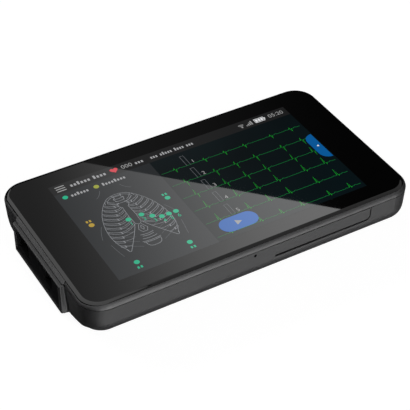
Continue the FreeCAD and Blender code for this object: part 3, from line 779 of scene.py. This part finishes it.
def add_step(row):
    """The calibration step of a row, and the row's number beside it."""
    base = first_row - row_pitch * row
    top = base + step_height
    left, right = step_x - step_half, step_x + step_half
    step = [(left - step_foot, base), (left, base), (left, top), (right, top), (right, base),
            (right + step_foot, base)]
    add_piece("step_mark_%d" % (row + 1), strokes(step, trace_width), LINES, drawing_dim)
    across, up = row_figure
    add_number("trace_figure_%d" % (row + 1), str(row + 1), step_x + across, base + up, row_figure_height,
               LINES, ink_white)


def add_traces():
    for row, (rise, dip) in enumerate(WAVES):
        add_trace(row, rise, dip)
    for row in range(step_rows):
        add_step(row)


def add_buttons():
    add_piece("start_button", [pill(*START_BUTTON)], MARKS, button_blue)
    add_piece("start_arrow", [START_ARROW], ICONS, ink_white)
    middle = (tab_edge - tab_width + tab_corner, tab_top - tab_corner)
    top = arc(*middle, tab_corner, start=90, sweep=90, steps=6)
    bottom = [(x, tab_bottom + tab_top - y) for x, y in reversed(top)]
    tab = [(tab_edge, tab_top)] + top + bottom + [(tab_edge, tab_bottom)]
    add_piece("side_tab", [tab], MARKS, tab_blue)
    add_piece("side_tab_arrow", [TAB_ARROW], ICONS, ink_bright)


add_piece("body_panel", [rectangle(0, 0, divider_x, panel_top)], BACK, panel_grey)
add_piece("trace_panel", [rectangle(divider_x, 0, display_length, panel_top)], BACK, trace_dark)
add_status_bar()
add_state_icons()
add_legend()
add_chest()
add_electrodes()
add_traces()
add_buttons()

# ---- small parts of the near wall
pinhole_place = (-1.25, 14.3)   # middle of the microphone's pinhole, along the wall and up
shade_ring_radius = 0.74           # black ring of painted shade on the wall round it
pinhole_mouth = 0.44            # just inside the hole in the case
shade_ring_proud = 0.012
gauze_depth = 0.3
flange_depth = 0.03
tail_depth = 0.36               # where it ends inside the wall
tail_share = 0.8                # of the mouth
GAUZE_DISH = [(0.85, 0.4), (0.5, 0.9), (0.1, 1.0)]  # shares of the mouth and of the depth
wall_lean = 0.06                # how far the near wall leans in, per mm of depth
seam_shadow_height = (0.55, 0.25)       # of the black strip of painted shadow in the port cover's seam, at the hinge and at its end
seam_shadow_proud = 0.012
seam_shadow_depth = 0.2
seam_shadow_end = 0.4                   # it ends this far below the parting line
cover_corner = 2.0
hinge_web = (0.1, 0.03, 0.4)    # width, how far it lies back, and depth
sharp_angle = 35.0              # edges sharper than this aren't smoothed
cover_left, cover_near, cover_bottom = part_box("port_cover")[0] / MM
cover_right, _, cover_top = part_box("port_cover")[1] / MM


def near_wall(z):
    """Where the drafted near wall stands at height z, in millimetres."""
    return cover_near + wall_lean * (cover_top - z)


def add_wall_piece(name, rings, material, body):
    """One closed piece made of rings of points, skinned from ring to ring and capped at both ends."""
    mesh = bpy.data.meshes.new(name)
    shape = bmesh.new()
    rows = [[shape.verts.new(Vector(point) * MM) for point in ring] for ring in rings]
    for row, following in zip(rows, rows[1:]):
        for i in range(len(row)):
            j = (i + 1) % len(row)
            shape.faces.new((row[i], row[j], following[j], following[i]))
    shape.faces.new(rows[0][::-1])
    shape.faces.new(rows[-1])
    bmesh.ops.recalc_face_normals(shape, faces=shape.faces)
    shape.to_mesh(mesh)
    shape.free()
    mesh.polygons.foreach_set("use_smooth", [True] * len(mesh.polygons))
    mesh.set_sharp_from_angle(angle=math.radians(sharp_angle))
    mesh.materials.append(material)
    piece = new_object(name, mesh)
    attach(piece, body)


def add_gauze():
    """Near-black plug in the microphone's pinhole, dished towards its gauze, with a ring that lies on the
    wall round the hole: painted shade that makes the pinhole look wider and darker.
    """
    x, z = pinhole_place
    profile = [(pinhole_mouth * tail_share, tail_depth), (shade_ring_radius, flange_depth),
               (shade_ring_radius, -shade_ring_proud), (pinhole_mouth, -shade_ring_proud)]
    profile += [(pinhole_mouth * share, gauze_depth * deep) for share, deep in GAUZE_DISH]
    rings = []
    for radius, depth in profile:
        rings.append([(x + side, near_wall(z + up) + depth, z + up) for side, up in disc(0, 0, radius)])
    add_wall_piece("pinhole_gauze_and_shade", rings, gauze_and_pinhole_shade, "case")


def lip_path(steps=8):
    """The port cover's lower edge and free end, as (x, z) with the way inwards, (across, up)."""
    start = cover_right - cover_corner
    path = [(cover_left, cover_bottom, 0.0, 1.0), (start, cover_bottom, 0.0, 1.0)]
    for k in range(1, steps + 1):
        turn = math.radians(90 * k / steps)
        across, up = math.sin(turn), math.cos(turn)
        path.append((start + cover_corner * across, cover_bottom + cover_corner * (1 - up), -across, up))
    path.append((cover_right, cover_top - seam_shadow_end, -1.0, 0.0))
    return path


def add_cover_lip():
    """Painted shadow: a thin black strip along the lower edge of the port cover and round its free end,
    where the seam's gap is in shade.
    """
    length = cover_right - cover_left + cover_top - cover_bottom
    rings = []
    for x, z, across, up in lip_path():
        share = (x - cover_left + z - cover_bottom) / length
        height = seam_shadow_height[0] + (seam_shadow_height[1] - seam_shadow_height[0]) * share
        inner_x, inner_z = x + across * height, z + up * height
        outer_y, inner_y = near_wall(z), near_wall(inner_z)
        rings.append([(x, outer_y - seam_shadow_proud, z), (inner_x, inner_y - seam_shadow_proud, inner_z),
                      (inner_x, inner_y + seam_shadow_depth, inner_z), (x, outer_y + seam_shadow_depth, z)])
    add_wall_piece("cover_seam_shadow", rings, seam_shadow_black, "port_cover")


def add_hinge_web():
    """Soft web that closes the line at the port cover's hinge."""
    width, back, depth = hinge_web
    left = cover_left - width
    rings = []
    for z in (cover_bottom, cover_top):
        front = near_wall(z)
        rings.append([(left, front + back, z), (cover_left, front + back, z),
                      (cover_left, front + depth, z), (left, front + depth, z)])
    add_wall_piece("hinge_web", rings, hinge_plastic, "case")


add_gauze()
add_cover_lip()
add_hinge_web()

# ---- roots of the hood
hood_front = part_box("rear_shell")[0].x / MM
hood_reach = 2.3
hood_corner = 0.8
hood_half_width = 23.4
hood_bottom = 0.9
shell_top = 16.15
shell_bottom = 0.6
case_end = hood_front + hood_reach
case_half_width = 45.2
corner_radius = 10.5
corner_start = case_half_width - corner_radius
belly_radius = 7.7
root_top = shell_top - 0.05
root_radius = 0.8       # the underside's rounding where it leaves the hood
root_reach = 15.6       # how far along the case end it takes to grow into the belly's own
root_growth = 1.65
root_hollow = 4.5       # 2 is a quarter circle, more is a tighter corner between flatter sides
root_skin = 0.6         # how deep the root is let into the case
root_lift = 0.3
backing_heights = (10.0, 13.0)
backing_reach = 2.0
flush = 0.008           # how far the root lies under the skin of the case, on the flat
corner_flush = 0.06     # and round the corner, where the case is cut into flat facets
hollow_shares = (-0.04, 0.01, 0.03, 0.07, 0.13, 0.22, 0.35, 0.5, 0.7, 1.0)
skirt_places = (27.0, 28.6, 30.4, 32.4, corner_start)
skirt_turns = (9, 18, 27, 33)
lean_angle = math.atan(wall_lean)


def straight_inset(z):
    """How far in the drafted wall is at height z."""
    return wall_lean * (shell_top - z)


def rolled_profile(radius, bottom, steps=9):
    """(inset, height) along a rounding that runs from the drafted wall into the underside."""
    middle = bottom + radius
    start = middle - radius * math.sin(lean_angle)
    inner = straight_inset(start) + radius * math.cos(lean_angle)
    angles = [lean_angle + (math.pi / 2 - lean_angle) * k / steps for k in range(steps + 1)]
    return [(inner - radius * math.cos(a), middle - radius * math.sin(a)) for a in angles]


def root_outline(radius, bottom, rows=5):
    """A section's outer line: down the wall and round into the underside."""
    roll = rolled_profile(radius, bottom)
    heights = [root_top + (roll[0][1] - root_top) * k / rows for k in range(rows)]
    return [(straight_inset(z), z) for z in heights] + roll


def root_backing():
    """The same section's inner line, just inside the skin of the case, from the underside up."""
    roll = reversed(rolled_profile(belly_radius, shell_bottom))
    line = [(inset + root_skin, z + root_lift) for inset, z in roll]
    return line + [(straight_inset(z) + root_skin, z) for z in (*backing_heights, root_top)]


def hollow_ring(share, side):
    """One section of the hollow curve beside the hood, share of the way along it."""
    hollow = 1 - (1 - (1 - max(share, 0.0)) ** root_hollow) ** (1 / root_hollow)
    ring = []
    for inset, z in root_outline(root_radius, hood_bottom):
        reach = hood_reach - hood_corner + straight_inset(z)
        x = case_end + inset + flush - hollow * reach
        ring.append((x, side * (hood_half_width + share * reach), z))
    for inset, z in root_backing():
        ring.append((case_end + inset, side * (hood_half_width + share * backing_reach), z))
    return ring


def skirt_ring(y, turn, side):
    """One section of the skirt along the case end, turn radians round the case's corner."""
    share = min((y - hood_half_width + corner_radius * turn) / root_reach, 1.0)
    radius = root_radius + (belly_radius - root_radius) * share ** root_growth
    bottom = hood_bottom + (shell_bottom - hood_bottom) * share
    let_in = corner_flush if turn else flush
    section = [(inset + let_in, z) for inset, z in root_outline(radius, bottom)] + root_backing()
    if not turn:
        return [(case_end + inset, side * y, z) for inset, z in section]
    spans = [(corner_radius - inset, z) for inset, z in section]
    return [(case_end + corner_radius - span * math.cos(turn), side * (y + span * math.sin(turn)), z)
            for span, z in spans]


def add_hood_root(name, side):
    """Where the case end flows out of the hood's side: a hollow curve, then a skirt down to the belly."""
    rings = [hollow_ring(share, side) for share in hollow_shares]
    rings += [skirt_ring(y, 0.0, side) for y in skirt_places]
    rings += [skirt_ring(corner_start, math.radians(turn), side) for turn in skirt_turns]
    add_wall_piece(name, rings, case_plastic, "case")


add_hood_root("hood_root_near", -1)
add_hood_root("hood_root_far", 1)


# ---- the camera
def direction(azimuth, elevation):
    """A unit vector: azimuth turns from -Y towards +X, elevation up from the floor, both in degrees."""
    around, up = math.radians(azimuth), math.radians(elevation)
    return Vector((math.sin(around) * math.cos(up), -math.cos(around) * math.cos(up), math.sin(up)))


def add_camera():
    data = bpy.data.cameras.new("camera")
    data.lens = camera_lens
    data.sensor_width = 36.0
    data.clip_start = 0.01
    back = direction(camera_azimuth, camera_elevation)
    right = Vector((-back.y, back.x, 0)).normalized()
    up = back.cross(right)
    turn = Matrix((right, up, back)).transposed().to_4x4()
    turn @= Matrix.Rotation(math.radians(camera_roll), 4, "Z")
    scene.camera = new_object("camera", data)
    scene.camera.matrix_world = Matrix.Translation(Vector(camera_place) * MM) @ turn


add_camera()

# ---- stage: cards for the glass, in millimetres
glare_line = ((-22.2, 26.1), (42.2, -41.4))     # where the bright card's edge shows on the glass
card_distance = 1600.0
card_near_edge = -46.0          # the bright card ends where the glass does
card_left_edge = -86.0
card_overlap = 60.0             # how far past the glare line's upper end the cards go on
dark_card_length = 220.0        # and how far past its lower end the dark one does
dark_card_width = 260.0
edge_card_reach = 700.0         # how far the cards for the glass's rounded edges go on
side_card_far = (200.0, 300.0)  # where the side card ends, at its right and its left edge
top_card_right = 400.0
card_grade = Vector((0.975, -0.22, 0.0))        # the way along which a card's strength changes
CARD_GLOW = {   # strength at a card's first and at its last place, and where on the glass these show
    "bright_card": (0.26, 2.5, -82.0, 52.0),
    "dark_card": (0.15, 0.015, -60.0, 75.0),
    "side_card": (1.4, 1.4, -90.0, 45.0),
    "top_card": (1.4, 0.5, card_left_edge, 0.0),
}

# ---- stage: low cards, lamps and room, in metres
low_card_distance = 1.5
lamp_distance = 1.44
lamp_target = Vector((0, 0, 0.01))
floor_half = 3.0
room_light = 0.1
room_reflection = 0.01


def empty_material(name):
    """A material for the stage, with no node but its output."""
    material = bpy.data.materials.new(name)
    material.use_nodes = True
    material.node_tree.nodes.clear()
    return material, material.node_tree.nodes.new("ShaderNodeOutputMaterial")


def add_reflected(name, corners, faces, material):
    """A glowing card that only reflections show."""
    material.cycles.emission_sampling = "NONE"
    mesh = bpy.data.meshes.new(name)
    mesh.from_pydata(corners, [], faces)
    mesh.materials.append(material)
    card = new_object(name, mesh)
    card.visible_camera = False
    card.visible_diffuse = False
    return card


def mirrored(x, y):
    """Where on the cards' sphere the light comes from that the camera sees in the glass at x, y."""
    image = Vector((camera_place[0], camera_place[1], 2 * glass_top - camera_place[2]))
    spot = Vector((x, y, glass_top))
    return (spot + (spot - image).normalized() * card_distance) * MM


def add_card(name, corners):
    """A large card for the glass to reflect, whose strength changes along card_grade."""
    material, out = empty_material(name)
    place = new_node(out, "ShaderNodeTexCoord")
    along = new_node(out, "ShaderNodeVectorMath")
    along.operation = "DOT_PRODUCT"
    along.inputs[1].default_value = card_grade
    first_glow, last_glow, first, last = CARD_GLOW[name]
    ramp = new_node(out, "ShaderNodeMapRange", To_Min=first_glow, To_Max=last_glow,
                    From_Min=mirrored(first, 0).dot(card_grade), From_Max=mirrored(last, 0).dot(card_grade))
    ramp.interpolation_type = "SMOOTHSTEP"
    glow = new_node(out, "ShaderNodeEmission")
    link(place, "Object", along, 0)
    link(along, "Value", ramp, "Value")
    link(ramp, "Result", glow, "Strength")
    link(glow, "Emission", out, "Surface")
    add_reflected(name, [mirrored(x, y) for x, y in corners], [tuple(range(len(corners)))], material)


def add_cards():
    """Bright and dark card, which meet along the glare line, and two for the glass's rounded edges."""
    first, last = Vector(glare_line[0]), Vector(glare_line[1])
    along = (last - first).normalized()
    low = last + along * ((card_near_edge - last.y) / along.y)
    high = first - along * card_overlap
    far = Vector((-along.y, along.x)) * dark_card_width
    beyond = last + along * dark_card_length
    corner = (card_left_edge, card_near_edge)
    left, near = card_left_edge - edge_card_reach, card_near_edge - edge_card_reach
    outer, inner = (card_left_edge, near), (card_left_edge, side_card_far[0])
    add_card("bright_card", [high, low, corner, (card_left_edge, high.y)])
    add_card("dark_card", [beyond, high, high + far, beyond + far])
    add_card("side_card", [outer, inner, (left, side_card_far[1]), (left, near)])
    add_card("top_card", [corner, outer, (top_card_right, near), (top_card_right, card_near_edge)])


def is_glassy(piece):
    names = [material.name for material in piece.data.materials if material]
    return any(name == "black_glass" or name.startswith("screen_") for name in names)


def keep_out_of_glass(light):
    """Let a light reach everything but the cover glass and the picture under it."""
    if "matt_pieces" not in bpy.data.collections:
        matt = bpy.data.collections.new("matt_pieces")
        for piece in scene.objects:
            if piece.type == "MESH" and not is_glassy(piece):
                matt.objects.link(piece)
    light.light_linking.receiver_collection = bpy.data.collections["matt_pieces"]


def add_low_card(name, azimuths, elevations, strength, steps=6):
    """A glowing card near the horizon, for the sheen on steep walls."""
    corners = []
    for j in range(steps + 1):
        elevation = elevations[0] + (elevations[1] - elevations[0]) * j / steps
        for i in range(steps + 1):
            azimuth = azimuths[0] + (azimuths[1] - azimuths[0]) * i / steps
            corners.append(direction(azimuth, elevation) * low_card_distance)
    row = steps + 1
    starts = [j * row + i for j in range(steps) for i in range(steps)]
    material, out = empty_material(name)
    glow = new_node(out, "ShaderNodeEmission", Strength=strength)
    link(glow, "Emission", out, "Surface")
    card = add_reflected(name, corners, [(k, k + 1, k + row + 1, k + row) for k in starts], material)
    keep_out_of_glass(card)


def add_lamp(name, place, size, watts, gives_sheen=False):
    """A soft lamp turned to the object. One that gives sheen shows in reflections, but not in glass."""
    data = bpy.data.lights.new(name, "AREA")
    data.shape = "RECTANGLE"
    data.size, data.size_y = size
    data.energy = watts
    lamp = new_object(name, data)
    lamp.location = place
    lamp.visible_glossy = gives_sheen
    lamp.rotation_euler = (Vector(place) - lamp_target).to_track_quat("Z", "Y").to_euler()
    if gives_sheen:
        keep_out_of_glass(lamp)


def add_floor():
    """Pale floor: white to the camera with the object's soft shadow, a grey card to the object."""
    mesh = bpy.data.meshes.new("floor")
    corners = [(x, y, 0) for x, y in rectangle(-floor_half, -floor_half, floor_half, floor_half)]
    mesh.from_pydata(corners, [], [(0, 1, 2, 3)])
    material, out = empty_material("floor")
    path = new_node(out, "ShaderNodeLightPath")
    glow = new_node(out, "ShaderNodeEmission", Strength=0.94)
    pale = new_node(out, "ShaderNodeBsdfDiffuse", Color=(0.2, 0.2, 0.2, 1))
    grey = new_node(out, "ShaderNodeBsdfDiffuse", Color=(0.04, 0.04, 0.04, 1))
    seen = new_node(out, "ShaderNodeAddShader")
    choice = new_node(out, "ShaderNodeMixShader")
    link(glow, "Emission", seen, 0)
    link(pale, "BSDF", seen, 1)
    link(path, "Is Camera Ray", choice, "Fac")
    link(grey, "BSDF", choice, 1)
    link(seen, "Shader", choice, 2)
    link(choice, "Shader", out, "Surface")
    mesh.materials.append(material)
    floor = new_object("floor", mesh)
    floor.visible_glossy = False


def add_world():
    """White to the camera, a dim room to the object, and dimmer still in reflections."""
    world = bpy.data.worlds.new("world")
    scene.world = world
    world.use_nodes = True
    background = world.node_tree.nodes["Background"]
    background.inputs["Color"].default_value = (1, 1, 1, 1)
    path = new_node(background, "ShaderNodeLightPath")
    unlit = new_node(background, "ShaderNodeMapRange", To_Min=room_light, To_Max=room_reflection)
    level = new_node(background, "ShaderNodeMapRange", To_Max=1.0)
    link(path, "Is Glossy Ray", unlit, "Value")
    link(unlit, "Result", level, "To Min")
    link(path, "Is Camera Ray", level, "Value")
    link(level, "Result", background, "Strength")


add_floor()
add_world()
add_cards()
add_low_card("front_card", azimuths=(-35.0, 37.0), elevations=(-40.0, 10.0), strength=4.35)
add_low_card("rear_card", azimuths=(-142.0, -95.0), elevations=(2.0, 24.0), strength=2.0)
add_lamp("front_lamp", direction(8.0, 22.0) * lamp_distance, size=(0.5, 0.9), watts=9.0, gives_sheen=True)
add_lamp("side_lamp", direction(-30.0, 50.0) * lamp_distance, size=(0.4, 0.4), watts=14.0)
add_lamp("back_lamp", (-0.40, 1.30, 0.50), size=(1.4, 0.8), watts=14.0)

# ---- finish
scene.view_settings.view_transform = "Standard"
